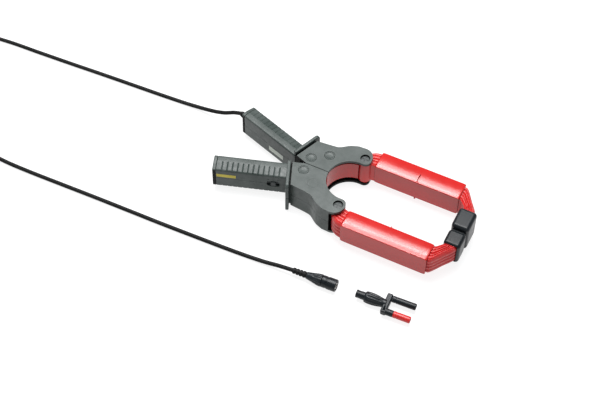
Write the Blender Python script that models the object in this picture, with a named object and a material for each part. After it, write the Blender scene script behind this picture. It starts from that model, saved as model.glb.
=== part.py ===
"""Large clamp-on current probe, with its coaxial lead and a plug adapter.

Frame: +X to the jaw tips, +Y to the left half, which the lead leaves from, +Z up. The origin is
on the resting plane, under the middle of the probe. Sizes are in millimetres, and become metres
where a mesh is made. Both halves come from one set of functions, which take side = +1 for the
left half and -1 for the right. Outlines are given for the left half, and side mirrors them.
"""

import math

import bmesh
import bpy
from mathutils import Matrix, Vector

MM = 0.001
LEFT, RIGHT = 1, -1
NAMES = {LEFT: "left", RIGHT: "right"}

GAP = 0.3  # clearance between pieces that touch
MID_Z = 24.0  # the plane in which the shells part
WALL = 2.4

# Hinge: one pin in each half, and two link plates between them.
PIVOT_X, PIVOT_Y = -52.3, 10.3
PIN_R = 2.5
HUB_R = 9.9
TOOTH_R = 2.0
LINK_R, LINK_T = 6.5, 1.6
SPLAY = math.radians(18.4)  # each handle's angle to the X axis, with the jaws closed

# Body
BODY_TOP = 44.5
PLATE = 3.5
THROAT_X, THROAT_R = 5.0, 29.4
HALF_SEAM = 0.4
SIDE_WALL_END_X = 0.8
SCREW_X, SCREW_Y = -33.8, 23.2
HORN_X, HORN_Y = 6.4, 38.3
RECESS_R = 6.0
PLUG_R, PLUG_T = 6.2, 1.0

# Handle, along s from the tangent point of the hub circle, across v, and z from MID_Z
HANDLE_LENGTH = 104.68
HANDLE_SECTION = [(0, -16.2), (1.2, -17.35), (8, -17.35), (19.2, -14.6), (20.6, -13)]
HANDLE_BORE = [(2.2, -14.9), (8.3, -14.9), (18.4, -12.2)]
HANDLE_MID_V = 10.3
CAP_T = 2.6
GUARD_S, GUARD_T, GUARD_LENGTH = 18.0, 3.0, 37.0
GUARD_ANGLE = math.radians(22.0)
SELECTOR_S, SELECTOR_TRAVEL = 35.0, 4.0

# Core and jaws
CORE_W, CORE_LOW, CORE_HIGH = 7.4, 14.0, 34.0
CORE_ROOM = 0.4
CORE_ARC_R = 38.0
CORE_END_Y = 0.35
JAW_Y, TIP_X = 48.6, 147.0
JAW_START, JAW_MID, JAW_END = 20.3, 74.3, 128.7
JAW_HALF_W, JAW_LOW, JAW_HIGH = 12.3, 7.9, 40.1
COVER_WALL = 2.0
ELBOW_LOW, ELBOW_HIGH = 9.6, 38.4

# Lead, plug and adapter
CORD_R = 2.5
CORD_Z = 2.6
END_GAP = 0.6  # at a face that the lead meets at a slight angle
COIL_X, COIL_Y, COIL_R = -520.0, -90.0, 27.5
COIL_SECTION = 16.0
COIL_LOW = 1.8
PLUG_X, PLUG_Y, PLUG_Z = -12.0, -122.6, 7.9
PLUG_ANGLE = math.radians(3.0)
ADAPTER_AT = 79.3  # the jack's mouth, along the plug's axis from the boot's end
PRONG_SPACING, PRONG_R = 19.0, 4.0

MATERIALS = {  # colour, roughness, metallic
    "grey_plastic": ((0.17, 0.19, 0.20), 0.55, 0),
    "black_plastic": ((0.02, 0.022, 0.025), 0.4, 0),
    "red_plastic": ((0.62, 0.03, 0.03), 0.4, 0),
    "black_rubber": ((0.015, 0.015, 0.015), 0.7, 0),
    "steel": ((0.55, 0.55, 0.56), 0.35, 1),
    "core_steel": ((0.25, 0.25, 0.27), 0.5, 1),
    "nickel": ((0.7, 0.69, 0.66), 0.25, 1),
    "coil_tape": ((0.7, 0.55, 0.1), 0.5, 0),
    "board": ((0.02, 0.2, 0.08), 0.5, 0),
}


def clear_scene():
    for old in list(bpy.data.objects):
        bpy.data.objects.remove(old)


def collection(name, hidden=False):
    made = bpy.data.collections.new(name)
    bpy.context.scene.collection.children.link(made)
    made.hide_render = hidden
    return made


def material(slot):
    found = bpy.data.materials.get(slot)
    if found:
        return found
    colour, roughness, metallic = MATERIALS[slot]
    made = bpy.data.materials.new(slot)
    made.use_nodes = True
    shader = made.node_tree.nodes["Principled BSDF"]
    shader.inputs["Base Color"].default_value = (*colour, 1)
    shader.inputs["Roughness"].default_value = roughness
    shader.inputs["Metallic"].default_value = metallic
    return made


def add(name, mesh, slot):
    """A visible piece of the probe."""
    made = bpy.data.objects.new(name, mesh)
    mesh.materials.clear()
    mesh.materials.append(material(slot))
    PARTS.objects.link(made)
    return made


def tool(mesh):
    """A hidden shape that a Boolean uses."""
    made = bpy.data.objects.new("tool", mesh)
    made.hide_render = True
    made.display_type = "WIRE"
    TOOLS.objects.link(made)
    return made


def shape(target, operation, mesh):
    change = target.modifiers.new(operation.lower(), "BOOLEAN")
    change.operation = operation
    change.solver = "EXACT"
    change.object = tool(mesh)


def cut(target, *meshes):
    for mesh in meshes:
        shape(target, "DIFFERENCE", mesh)


def join(target, *meshes):
    for mesh in meshes:
        shape(target, "UNION", mesh)


def finished(work, matrix=None):
    """A mesh from a bmesh, its faces turned out, in metres."""
    bmesh.ops.transform(work, matrix=matrix or Matrix.Scale(MM, 4), verts=work.verts)
    bmesh.ops.recalc_face_normals(work, faces=work.faces)
    mesh = bpy.data.meshes.new("shape")
    work.to_mesh(mesh)
    work.free()
    return mesh


def block(low, high):
    low, high = Vector(low), Vector(high)
    work = bmesh.new()
    bmesh.ops.create_cube(work, size=1)
    size = Matrix.Diagonal(((high - low) * MM).to_4d())
    size[3][3] = 1
    return finished(work, Matrix.Translation((low + high) / 2 * MM) @ size)


def rod(x, y, low, high, radius, sides=24):
    """An upright cylinder."""
    work = bmesh.new()
    bmesh.ops.create_cone(work, cap_ends=True, segments=sides, radius1=radius, radius2=radius,
                          depth=high - low)
    place = Matrix.Translation((x * MM, y * MM, (low + high) / 2 * MM))
    return finished(work, place @ Matrix.Scale(MM, 4))


def prism(outline, low, high, matrix=None):
    """A flat outline with thickness from low to high, placed by matrix."""
    curve = bpy.data.curves.new("outline", "CURVE")
    curve.dimensions = "2D"
    curve.fill_mode = "BOTH"
    curve.extrude = (high - low) / 2
    spline = curve.splines.new("POLY")
    spline.points.add(len(outline) - 1)
    for point, (x, y) in zip(spline.points, outline):
        point.co = (x, y, 0, 1)
    spline.use_cyclic_u = True
    guide = bpy.data.objects.new("outline", curve)
    TOOLS.objects.link(guide)
    graph = bpy.context.evaluated_depsgraph_get()
    flat = bpy.data.meshes.new_from_object(guide.evaluated_get(graph))
    bpy.data.objects.remove(guide)
    work = bmesh.new()
    work.from_mesh(flat)
    bmesh.ops.remove_doubles(work, verts=work.verts, dist=0.001)
    bmesh.ops.translate(work, verts=work.verts, vec=(0, 0, (low + high) / 2))
    return finished(work, Matrix.Scale(MM, 4) @ (matrix or Matrix()))


def turned(profile, matrix=None, sides=24):
    """A profile of (radius, height) points turned about Z, then placed by matrix."""
    work = bmesh.new()
    points = [work.verts.new((radius, 0, height)) for radius, height in profile]
    closed = profile[0][0] > 0
    pairs = list(zip(points, points[1:])) + ([(points[-1], points[0])] if closed else [])
    edges = [work.edges.new(pair) for pair in pairs]
    bmesh.ops.spin(work, geom=points + edges, axis=(0, 0, 1), cent=(0, 0, 0), steps=sides,
                   angle=math.tau, use_merge=True)
    bmesh.ops.remove_doubles(work, verts=work.verts, dist=0.001)
    return finished(work, Matrix.Scale(MM, 4) @ (matrix or Matrix()))


def tube(name, points, radius, slot, sides=2):
    """A round tube along points, which are in millimetres."""
    curve = bpy.data.curves.new(name, "CURVE")
    curve.dimensions = "3D"
    curve.bevel_depth = radius * MM
    curve.bevel_resolution = sides
    curve.use_fill_caps = True
    spline = curve.splines.new("POLY")
    spline.points.add(len(points) - 1)
    for point, place in zip(spline.points, points):
        point.co = (*(Vector(place) * MM), 1)
    made = bpy.data.objects.new(name, curve)
    curve.materials.append(material(slot))
    PARTS.objects.link(made)
    return made


def arc(centre, radius, start, end, steps):
    """Points on an arc, with angles in degrees."""
    turns = [math.radians(start + (end - start) * i / steps) for i in range(steps + 1)]
    return [(centre[0] + radius * math.cos(a), centre[1] + radius * math.sin(a)) for a in turns]


def mirrored(outline, side):
    return [(x, y * side) for x, y in outline]


def ribbon(path, width):
    """The outline of a flat band of this width along a path, with mitred corners."""
    path = [Vector(point) for point in path]
    left, right = [], []
    for i, point in enumerate(path):
        before = (point - path[max(i - 1, 0)]).normalized()
        after = (path[min(i + 1, len(path) - 1)] - point).normalized()
        along = (before + after).normalized()
        across = Vector((-along.y, along.x))
        reach = width / 2 / max(along.dot(after), along.dot(before))
        left.append(tuple(point + across * reach))
        right.append(tuple(point - across * reach))
    return left + right[::-1]


def smooth(points, per_span):
    """Points on a Catmull-Rom curve through the given points."""
    rows = [Vector(point) for point in points]
    rows = [rows[0] * 2 - rows[1]] + rows + [rows[-1] * 2 - rows[-2]]
    found = []
    for a, b, c, d in zip(rows, rows[1:], rows[2:], rows[3:]):
        for step in range(per_span):
            t = step / per_span
            found.append(0.5 * (2 * b + (c - a) * t + (2 * a - 5 * b + 4 * c - d) * t * t
                                + (3 * b - a - 3 * c + d) * t ** 3))
    return found + [rows[-2]]


# Places on a half

TANGENT = (PIVOT_X - HUB_R * math.sin(SPLAY), PIVOT_Y - HUB_R * math.cos(SPLAY))


def on_handle(s, v):
    """The point s along the handle and v out from its inner face, on the left half."""
    return (TANGENT[0] - s * math.cos(SPLAY) + v * math.sin(SPLAY),
            TANGENT[1] + s * math.sin(SPLAY) + v * math.cos(SPLAY))


def handle_frame(side):
    """Local X is v, local Y is z above MID_Z, and local Z is s."""
    x, y = TANGENT
    return Matrix(((math.sin(SPLAY), 0, -math.cos(SPLAY), x),
                   (side * math.cos(SPLAY), 0, side * math.sin(SPLAY), side * y),
                   (0, 1, 0, MID_Z), (0, 0, 0, 1)))


def handle_outline(lower_half):
    """The whole section from its lower half, listed from the inner face outwards."""
    return lower_half + [(v, -z) for v, z in reversed(lower_half)]


def level(z, upper):
    """A height in the upper shell, or its mirror image in the lower one."""
    return z if upper else 2 * MID_Z - z


def body_outline():
    """The left half's body seen from above, from the seam at the throat, anticlockwise."""
    start = 180 - math.degrees(math.asin(HALF_SEAM / THROAT_R))
    around_hub = arc((PIVOT_X, PIVOT_Y), HUB_R, 270 - math.degrees(SPLAY), 270, 3)
    inner_guard = on_handle(GUARD_S, 0)
    reach = (36.4 - inner_guard[1]) / math.cos(GUARD_ANGLE)
    outer_guard = (inner_guard[0] + reach * math.sin(GUARD_ANGLE), 36.4)
    return (arc((THROAT_X, 0), THROAT_R, start, 96, 10)
            + arc((7.5, 36.3), 7.2, -90, 0, 4)
            + arc((1.5, 39.2), 13.2, 0, 90, 5)
            + [(-8, 51.8), (-16.4, 48.6), (-21.5, 45.3), (-26, 41.8), (-31, 39.4), (-43, 37.9)]
            + [outer_guard, inner_guard] + around_hub)


def inset(outline, distance):
    """The outline moved inwards, for an outline that runs clockwise or anticlockwise."""
    points = [Vector(point) for point in outline]
    area = sum(a.cross(b) for a, b in zip(points, points[1:] + points[:1]))
    turn = 1 if area > 0 else -1
    found = []
    for i, point in enumerate(points):
        before = (point - points[i - 1]).normalized()
        after = (points[(i + 1) % len(points)] - point).normalized()
        along = (before + after).normalized()
        across = Vector((-along.y, along.x)) * turn
        found.append(tuple(point + across * distance / max(along.dot(after), 0.5)))
    return found


def core_path():
    """The middle line of the left core, from the pole face at the hinge to the one at the tip."""
    return ([(THROAT_X - CORE_ARC_R, CORE_END_Y)]
            + arc((THROAT_X, 0), CORE_ARC_R, 176, 98, 8)
            + [(HORN_X, 38.8), (19.0, JAW_Y), (133.0, JAW_Y), (TIP_X, 28.0), (TIP_X, CORE_END_Y)])


def core_channel(side):
    """The room that a piece leaves for the core."""
    outline = mirrored(ribbon(core_path(), CORE_W + 2 * CORE_ROOM), side)
    return prism(outline, CORE_LOW - CORE_ROOM, CORE_HIGH + CORE_ROOM)


def guard(side):
    """The finger guard: an upright plate across the handle's root."""
    x, y = on_handle(GUARD_S, 0)
    along = Matrix(((math.sin(GUARD_ANGLE), 0, -math.cos(GUARD_ANGLE), x),
                    (side * math.cos(GUARD_ANGLE), 0, side * math.sin(GUARD_ANGLE), side * y),
                    (0, 1, 0, 0), (0, 0, 0, 1)))
    top = 2 * MID_Z
    corners = [(0, 0), (GUARD_LENGTH - 3, 0), (GUARD_LENGTH - 0.9, 0.9), (GUARD_LENGTH, 3)]
    outline = corners + [(t, top - z) for t, z in reversed(corners)]
    return prism(outline, -GUARD_T / 2, GUARD_T / 2, along)


def shell(side, upper):
    """One shell of a half: body, handle and guard, hollow, open at the throat and the horn."""
    where = f"{NAMES[side]}_{'upper' if upper else 'lower'}_shell"
    outline = body_outline()
    made = add(where, prism(mirrored(outline, side), level(BODY_TOP, False), BODY_TOP),
               "grey_plastic")
    frame = handle_frame(side)
    join(made, prism(handle_outline(HANDLE_SECTION), GUARD_S - 6, HANDLE_LENGTH, frame),
         guard(side))

    floor, ceiling = level(BODY_TOP - PLATE, False), BODY_TOP - PLATE
    throat = (arc((THROAT_X, 0), THROAT_R - 3, 190, 95, 10)
              + arc((THROAT_X, 0), THROAT_R + 4, 95, 190, 10))
    cut(made,
        prism(mirrored(inset(outline, WALL), side), floor, ceiling),
        prism(handle_outline(HANDLE_BORE), GUARD_S - 8, HANDLE_LENGTH + 5, frame),
        prism(mirrored(throat, side), floor, ceiling),
        block(*box_between((SIDE_WALL_END_X, 26, floor), (20, 60, ceiling), side)),
        block(*box_between((-63.5, -1, floor), (-24, 8, ceiling), side)))

    # Bosses for the body screw, above and below the core
    x, y = SCREW_X, SCREW_Y * side
    boss = sorted((level(CORE_HIGH + 0.7, upper), level(BODY_TOP - 1.5, upper)))
    join(made, rod(x, y, *boss, 4.0, 16))
    if upper:
        cut(made,
            rod(x, y, MID_Z, BODY_TOP - 2.2, 1.9, 12),
            rod(x, y, BODY_TOP - PLUG_T - GAP, BODY_TOP + 1, PLUG_R + GAP),
            rod(PIVOT_X, PIVOT_Y * side, ceiling - 1, BODY_TOP - 1.2, PIN_R + 0.3, 16),
            rod(PIVOT_X, PIVOT_Y * side, BODY_TOP - PLUG_T - GAP, BODY_TOP + 1, PLUG_R + GAP),
            rod(HORN_X, HORN_Y * side, ceiling - 1, BODY_TOP + 1, RECESS_R))
        cut(made, block((-300, -200, -50), (300, 200, MID_Z + GAP / 2)))
    else:
        cut(made,
            rod(x, y, 2.0, MID_Z, 1.9, 12),
            rod(x, y, 2.0, floor, 3.6, 16),
            rod(PIVOT_X, PIVOT_Y * side, 5.0, floor + 1, PIN_R + 0.3, 16),
            rod(HORN_X, HORN_Y * side, 2.0, floor + 1, 2.4, 16))
        cut(made, block((-300, -200, MID_Z - GAP / 2), (300, 200, 100)))
    if side == RIGHT:
        half = SELECTOR_TRAVEL + 3.5
        window = [(16, -4), (22, -4), (22, 4), (16, 4)]
        cut(made, prism(window, SELECTOR_S - half, SELECTOR_S + half, frame))
    return made


def box_between(low, high, side):
    """A block's corners, given for the left half."""
    if side == LEFT:
        return low, high
    return (low[0], -high[1], low[2]), (high[0], -low[1], high[2])


def end_cap(side):
    """Closes the handle's rear end, with a spigot inside the shells."""
    frame = handle_frame(side)
    plate = handle_outline(HANDLE_SECTION)
    start = HANDLE_LENGTH + GAP
    made = add(f"{NAMES[side]}_end_cap", prism(plate, start, start + CAP_T, frame),
               "black_plastic")
    spigot = handle_outline([(v + (0.5 if v < 10 else -0.5), z + 0.5) for v, z in HANDLE_BORE])
    join(made, prism(spigot, start - 7, start + 1, frame))
    if side == LEFT:
        cut(made, turned([(0, 80), (4.3, 80), (4.3, 120), (0, 120)], gland_frame()))
    return made


def gland_frame():
    """Local Z runs out along the middle of the left handle, and is s."""
    return handle_frame(LEFT) @ Matrix.Translation((HANDLE_MID_V, 0, 0))


def gland():
    """The strain relief: a collar behind the cap, then a tapered sleeve."""
    out = HANDLE_LENGTH + GAP + CAP_T
    profile = [(0, out - 12), (4.0, out - 12), (4.0, out + GAP), (5.4, out + GAP),
               (5.4, out + 2), (4.6, out + 2.6), (3.3, out + 14), (0, out + 14)]
    return add("cable_gland", turned(profile, gland_frame(), 16), "black_rubber")


def core(side):
    made = add(f"{NAMES[side]}_core",
               prism(mirrored(ribbon(core_path(), CORE_W), side), CORE_LOW, CORE_HIGH),
               "core_steel")
    cut(made, rod(HORN_X, HORN_Y * side, 10, 40, 2.4, 12))


def throat_liner(side):
    """The red insulation that shows between the body plates, around the throat."""
    start = 180 - math.degrees(math.asin(HALF_SEAM / (THROAT_R + 1.6)))
    outline = (arc((THROAT_X, 0), THROAT_R + 1.5, start, 99, 10)
               + arc((THROAT_X, 0), THROAT_R + 3.5, 99, start, 10))
    add(f"{NAMES[side]}_throat_liner", prism(mirrored(outline, side), 10, 38), "red_plastic")


def neck(side):
    """Joins the jaw to the horn: a round hub between the plates, flaring to the jaw's width."""
    flare = [(7.2, 30.4), (15.4, 33.0), (19.9, 37.2), (19.9, 60.2), (15.0, 59.2), (9.0, 55.6),
             (4.0, 51.8), (2.2, 49.0), (2.2, 40.0)]
    made = add(f"{NAMES[side]}_neck", prism(mirrored(flare, side), 8.6, 39.4), "red_plastic")
    join(made, rod(7.2, HORN_Y * side, 8.2, 39.8, 8.2, 28))
    cut(made, core_channel(side), rod(HORN_X, HORN_Y * side, 0, 50, 2.4, 16))


def jaw_cover(side, place, start, end):
    """A rectangular sleeve over one winding."""
    near, far = JAW_Y - JAW_HALF_W, JAW_Y + JAW_HALF_W
    made = add(f"{NAMES[side]}_{place}_jaw_cover",
               block(*box_between((start, near, JAW_LOW), (end, far, JAW_HIGH), side)),
               "red_plastic")
    cut(made, block(*box_between((start - 1, near + COVER_WALL, JAW_LOW + COVER_WALL),
                                 (end + 1, far - COVER_WALL, JAW_HIGH - COVER_WALL), side)))


def winding(side, place, start, end):
    inner = CORE_W / 2 + CORE_ROOM
    outer = JAW_HALF_W - COVER_WALL - 0.5
    low, high = JAW_LOW + COVER_WALL + 0.5, JAW_HIGH - COVER_WALL - 0.5
    made = add(f"{NAMES[side]}_{place}_winding",
               block(*box_between((start, JAW_Y - outer, low), (end, JAW_Y + outer, high), side)),
               "coil_tape")
    cut(made, block(*box_between((start - 1, JAW_Y - inner, CORE_LOW - CORE_ROOM),
                                 (end + 1, JAW_Y + inner, CORE_HIGH + CORE_ROOM), side)))


def elbow(side):
    """Carries the core round from the jaw to the tip cap."""
    outline = [(JAW_END + GAP, 38.4), (133.2, 38.0), (138.6, 31.0), (138.6, 16.6), (153.3, 16.6),
               (153.3, 29.3), (133.0, 57.9), (131.0, 58.6), (JAW_END + GAP, 58.6)]
    made = add(f"{NAMES[side]}_elbow",
               prism(mirrored(outline, side), ELBOW_LOW, ELBOW_HIGH), "red_plastic")
    cut(made, core_channel(side))


def tip_cap(side):
    """The left cap is a shroud, and the right cap's nose goes into it."""
    if side == LEFT:
        made = add("left_tip_cap", block((135.6, -5.0, 4.0), (157.5, 24.2, 44.0)),
                   "black_plastic")
        cut(made, block((137.8, -6, 9.5), (155.2, 0.6, 38.5)))
    else:
        made = add("right_tip_cap", block((135.9, -29.0, 7.5), (156.7, -7.2, 40.5)),
                   "black_plastic")
        join(made, block((138.4, -9, 10.5), (154.6, -CORE_END_Y, 37.5)))
    cut(made,
        block(*box_between((138.2, 16.2, 9.2), (153.7, 30, 38.8), side)),
        block(*box_between((TIP_X - 4.1, -2, 13.6), (TIP_X + 4.1, 20, 34.4), side)))


def pivot_hub(side):
    """Rolls on the other half's hub. The tooth and the notch keep the halves in step."""
    x, y = PIVOT_X, PIVOT_Y * side
    low, high = MID_Z - 5, MID_Z + 5
    made = add(f"{NAMES[side]}_pivot_hub", rod(x, y, low, high, HUB_R, 32), "steel")
    if side == LEFT:
        join(made, rod(PIVOT_X, 0, low + 0.5, high - 0.5, TOOTH_R, 16))
    else:
        cut(made, rod(PIVOT_X, 0, low - 1, high + 1, TOOTH_R + 0.5, 16))
    cut(made, rod(x, y, low - 1, high + 1, PIN_R + 0.3, 16))


def hinge():
    """Pins, link plates and springs."""
    outline = (arc((PIVOT_X, PIVOT_Y), LINK_R, 0, 180, 8)
               + arc((PIVOT_X, -PIVOT_Y), LINK_R, 180, 360, 8))
    inside = BODY_TOP - PLATE - 0.4
    for name, low in (("upper", inside - LINK_T), ("lower", 2 * MID_Z - inside)):
        plate = add(f"{name}_link_plate", prism(outline, low, low + LINK_T), "steel")
        for side in (LEFT, RIGHT):
            cut(plate, rod(PIVOT_X, PIVOT_Y * side, low - 1, low + 3, PIN_R + 0.3, 16))
    for side in (LEFT, RIGHT):
        add(f"{NAMES[side]}_pivot_pin",
            rod(PIVOT_X, PIVOT_Y * side, 5.3, BODY_TOP - PLUG_T - 2 * GAP, PIN_R, 16), "steel")
        tube(f"{NAMES[side]}_torsion_spring", spring_path(side), 0.6, "steel", 1)


def spring_path(side):
    """A coil on the pin above the hub, with a straight leg at each end."""
    turns, per_turn, radius, low, pitch = 3, 12, 5.0, MID_Z + 7, 1.8
    points = []
    for i in range(turns * per_turn + 1):
        a = math.tau * i / per_turn
        points.append((PIVOT_X + radius * math.cos(a), (PIVOT_Y + radius * math.sin(a)) * side,
                       low + pitch * i / per_turn))
    first, last = points[0], points[-1]
    return ([(first[0], first[1] - 5 * side, first[2])] + points
            + [(last[0], last[1] + 7 * side, last[2])])


def body_fasteners(side):
    where = NAMES[side]
    low = BODY_TOP - PLUG_T
    add(f"{where}_pivot_plug", rod(PIVOT_X, PIVOT_Y * side, low, BODY_TOP, PLUG_R),
        "grey_plastic")
    add(f"{where}_body_plug", rod(SCREW_X, SCREW_Y * side, low, BODY_TOP, PLUG_R),
        "grey_plastic")
    screw = [(0, 4.2), (3.2, 4.2), (3.2, 6.7), (1.6, 6.7), (1.6, 41.5), (0, 41.5)]
    add(f"{where}_body_screw",
        turned(screw, Matrix.Translation((SCREW_X, SCREW_Y * side, 0)), 12), "steel")
    screw = [(0, 4.2), (2.0, 4.2), (2.0, 40.1), (5.4, 40.1), (5.4, 42.0), (4.8, 42.8), (0, 42.8)]
    add(f"{where}_horn_screw",
        turned(screw, Matrix.Translation((HORN_X, HORN_Y * side, 0)), 20), "black_plastic")


def selector():
    """The slide switch in the right handle, its knob and the board that carries it."""
    frame = handle_frame(RIGHT)
    board = [(5.0, -12), (6.6, -12), (6.6, 12), (5.0, 12)]
    add("circuit_board", prism(board, 22, 80, frame), "board")
    switch = [(6.9, -5), (15.3, -5), (15.3, 5), (6.9, 5)]
    add("selector_switch", prism(switch, SELECTOR_S - 7, SELECTOR_S + 7, frame), "steel")
    base = [(15.7, -5.5), (17.6, -5.5), (17.6, 5.5), (15.7, 5.5)]
    half = SELECTOR_TRAVEL + 3.5
    knob = add("selector_knob", prism(base, SELECTOR_S - half - 3, SELECTOR_S + half + 3, frame),
               "black_plastic")
    grip = [(17.0, -3.4), (21.4, -3.4), (21.4, 3.4), (17.0, 3.4)]
    join(knob, prism(grip, SELECTOR_S - 3, SELECTOR_S + 3, frame))


def handle_point(s, v, z):
    x, y = on_handle(s, v)
    return (x, y, z)


def coil_ring():
    """The outer shape of the wound part of the lead."""
    half = COIL_SECTION / 2
    low, high = COIL_LOW, COIL_LOW + COIL_SECTION
    profile = [(COIL_R - half, low + 3), (COIL_R - half + 3, low), (COIL_R + half - 3, low),
               (COIL_R + half, low + 3), (COIL_R + half, high - 3), (COIL_R + half - 3, high),
               (COIL_R - half + 3, high), (COIL_R - half, high - 3)]
    add("lead_coil", turned(profile, Matrix.Translation((COIL_X, COIL_Y, 0)), 32),
        "black_rubber")


def coil_tie():
    """A strap round the coil on the side away from the probe."""
    reach, thick, width = COIL_SECTION / 2 + GAP, 1.2, 6.0
    x, z = COIL_X - COIL_R * math.cos(math.radians(40)), COIL_LOW + COIL_SECTION / 2
    y = COIL_Y - COIL_R * math.sin(math.radians(40))
    turn = Matrix.Translation((x, y, z)) @ Matrix.Rotation(math.radians(40), 4, "Z")
    # The coil curves inside the strap, so the hole has a little more room across.
    wide = reach + 0.5
    outside = [(-wide - thick, -reach - thick), (wide + thick, -reach - thick),
               (wide + thick, reach + thick), (-wide - thick, reach + thick)]
    hole = [(-wide, -reach), (wide, -reach), (wide, reach), (-wide, reach)]
    upright = turn @ Matrix.Rotation(math.radians(90), 4, "X")
    made = add("lead_tie", prism(outside, -width / 2, width / 2, upright), "black_rubber")
    cut(made, prism(hole, -width, width, upright))


def lead():
    """The lead's two free stretches, the coil between them, and its end in the handle."""
    exit_s = HANDLE_LENGTH + GAP + CAP_T + 14
    start = handle_point(exit_s + END_GAP, HANDLE_MID_V, MID_Z)
    out = [start, (-178, 50.8, 22.0), (-190, 51.4, 18.0), (-203, 51.5, 12.0), (-217, 51.0, 6.8),
           (-232, 50.0, 3.6), (-250, 48.6, CORD_Z), (-282, 45.8, CORD_Z), (-315, 44.4, CORD_Z),
           (-360, 42.5, CORD_Z), (-410, 40.0, CORD_Z), (-460, 37.8, CORD_Z),
           (-505, 36.0, CORD_Z), (-538, 31.0, CORD_Z), (-562, 15.0, CORD_Z),
           (-573, -10.0, CORD_Z), (-568, -38.0, CORD_Z), (-557, -58.0, CORD_Z + 0.4),
           (-553.2, -69.5, CORD_Z + 1.2)]
    tube("lead_out", smooth(out, 3), CORD_R, "black_rubber")
    back = [(-499, -122.0, CORD_Z + 1.2), (-485, -122.6, CORD_Z + 0.3), (-465, -124.5, CORD_Z),
            (-440, -129.0, CORD_Z), (-406, -133.5, CORD_Z), (-370, -134.2, CORD_Z),
            (-320, -133.0, CORD_Z), (-270, -131.6, CORD_Z), (-215, -130.5, CORD_Z),
            (-183, -129.9, CORD_Z), (-129, -128.2, CORD_Z), (-83, -126.4, CORD_Z),
            (-50, -124.7, 3.6), (-28, -123.5, 6.6), plug_point(-END_GAP)]
    tube("lead_back", smooth(back, 3), CORD_R, "black_rubber")
    inside = [handle_point(s, HANDLE_MID_V, MID_Z) for s in range(94, 24, -10)]
    tube("lead_inner_end", inside, 2.0, "black_rubber", 1)
    coil_ring()
    coil_tie()


def plug_frame():
    """Local Z runs along the plug's axis, from the boot to the mouth and on to the adapter."""
    return (Matrix.Translation((PLUG_X, PLUG_Y, PLUG_Z)) @ Matrix.Rotation(PLUG_ANGLE, 4, "Z")
            @ Matrix.Rotation(math.radians(90), 4, "Y"))


def plug_point(along):
    return tuple(plug_frame() @ Vector((0, 0, along)))


def plug():
    frame = plug_frame()
    boot = [(0, 0), (3.6, 0), (4.2, 16.8), (0, 16.8)]
    add("plug_boot", turned(boot, frame, 20), "black_rubber")
    body = [(0, 17.1), (4.3, 17.1), (5.2, 23), (7.1, 31), (7.4, 35.6), (5.0, 35.6), (5.0, 40.0),
            (0, 40.0)]
    add("plug_body", turned(body, frame), "black_plastic")
    sleeve = [(5.3, 36.0), (7.5, 36.0), (7.5, 53.0), (5.3, 53.0)]
    add("plug_sleeve", turned(sleeve, frame), "black_plastic")
    contact = [(0, 40.3), (3.9, 40.3), (3.9, 51.5), (3.3, 51.5), (3.3, 43), (0.6, 43), (0.6, 49),
               (0, 49)]
    add("plug_contact", turned(contact, frame, 20), "nickel")


def adapter():
    frame = plug_frame()
    at = ADAPTER_AT
    jack = [(4.2, at), (4.75, at), (4.75, at + 9.9), (4.2, at + 9.9)]
    add("adapter_jack", turned(jack, frame, 20), "nickel")
    shape_points = [(0, at + 10.2), (6.4, at + 10.2), (7.2, at + 14), (7.0, at + 24),
                    (5.2, at + 31), (5.2, at + 35), (0, at + 35)]
    body = add("adapter_body", turned(shape_points, frame), "black_plastic")
    half = PRONG_SPACING / 2
    reach = half + PRONG_R
    join(body, block_on(frame, (-PRONG_R, -reach, at + 32), (PRONG_R, reach, at + 38.5)))
    stub = turned([(0, 38), (PRONG_R, 38), (PRONG_R, 46), (0, 46)],
                  frame @ Matrix.Translation((0, -half, at)), 20)
    join(body, stub)
    for name, slot, offset, start in (("black", "black_plastic", half, 38.8),
                                      ("red", "red_plastic", -half, 46.3)):
        place = frame @ Matrix.Translation((0, offset, at))
        sleeve = [(2.6, start), (PRONG_R, start), (PRONG_R, 66), (2.6, 66)]
        add(f"{name}_plug_sleeve", turned(sleeve, place, 20), slot)
        pin = [(0, start + GAP), (2.0, start + GAP), (2.0, 64.5), (1.4, 65), (0, 65)]
        add(f"{name}_plug_pin", turned(pin, place, 12), "nickel")


def block_on(frame, low, high):
    """A block in a local frame."""
    outline = [(low[0], low[1]), (high[0], low[1]), (high[0], high[1]), (low[0], high[1])]
    return prism(outline, low[2], high[2], frame)


def half(side):
    for upper in (True, False):
        shell(side, upper)
    end_cap(side)
    core(side)
    throat_liner(side)
    neck(side)
    for place, start, end in (("rear", JAW_START, JAW_MID - GAP / 2),
                              ("front", JAW_MID + GAP / 2, JAW_END)):
        jaw_cover(side, place, start, end)
        winding(side, place, start + 0.6, end - 0.6)
    elbow(side)
    tip_cap(side)
    pivot_hub(side)
    body_fasteners(side)


def hang(empty_name, place, prefixes, but=()):
    """Parents pieces to an empty on their joint's axis, where they stand."""
    axis = bpy.data.objects.new(empty_name, None)
    axis.location = Vector(place) * MM
    PARTS.objects.link(axis)
    for piece in list(PARTS.objects):
        if piece.type != "EMPTY" and piece.name.startswith(prefixes) and not piece.name.endswith(but):
            piece.parent = axis
            piece.matrix_parent_inverse = Matrix.Translation(-axis.location)


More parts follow.
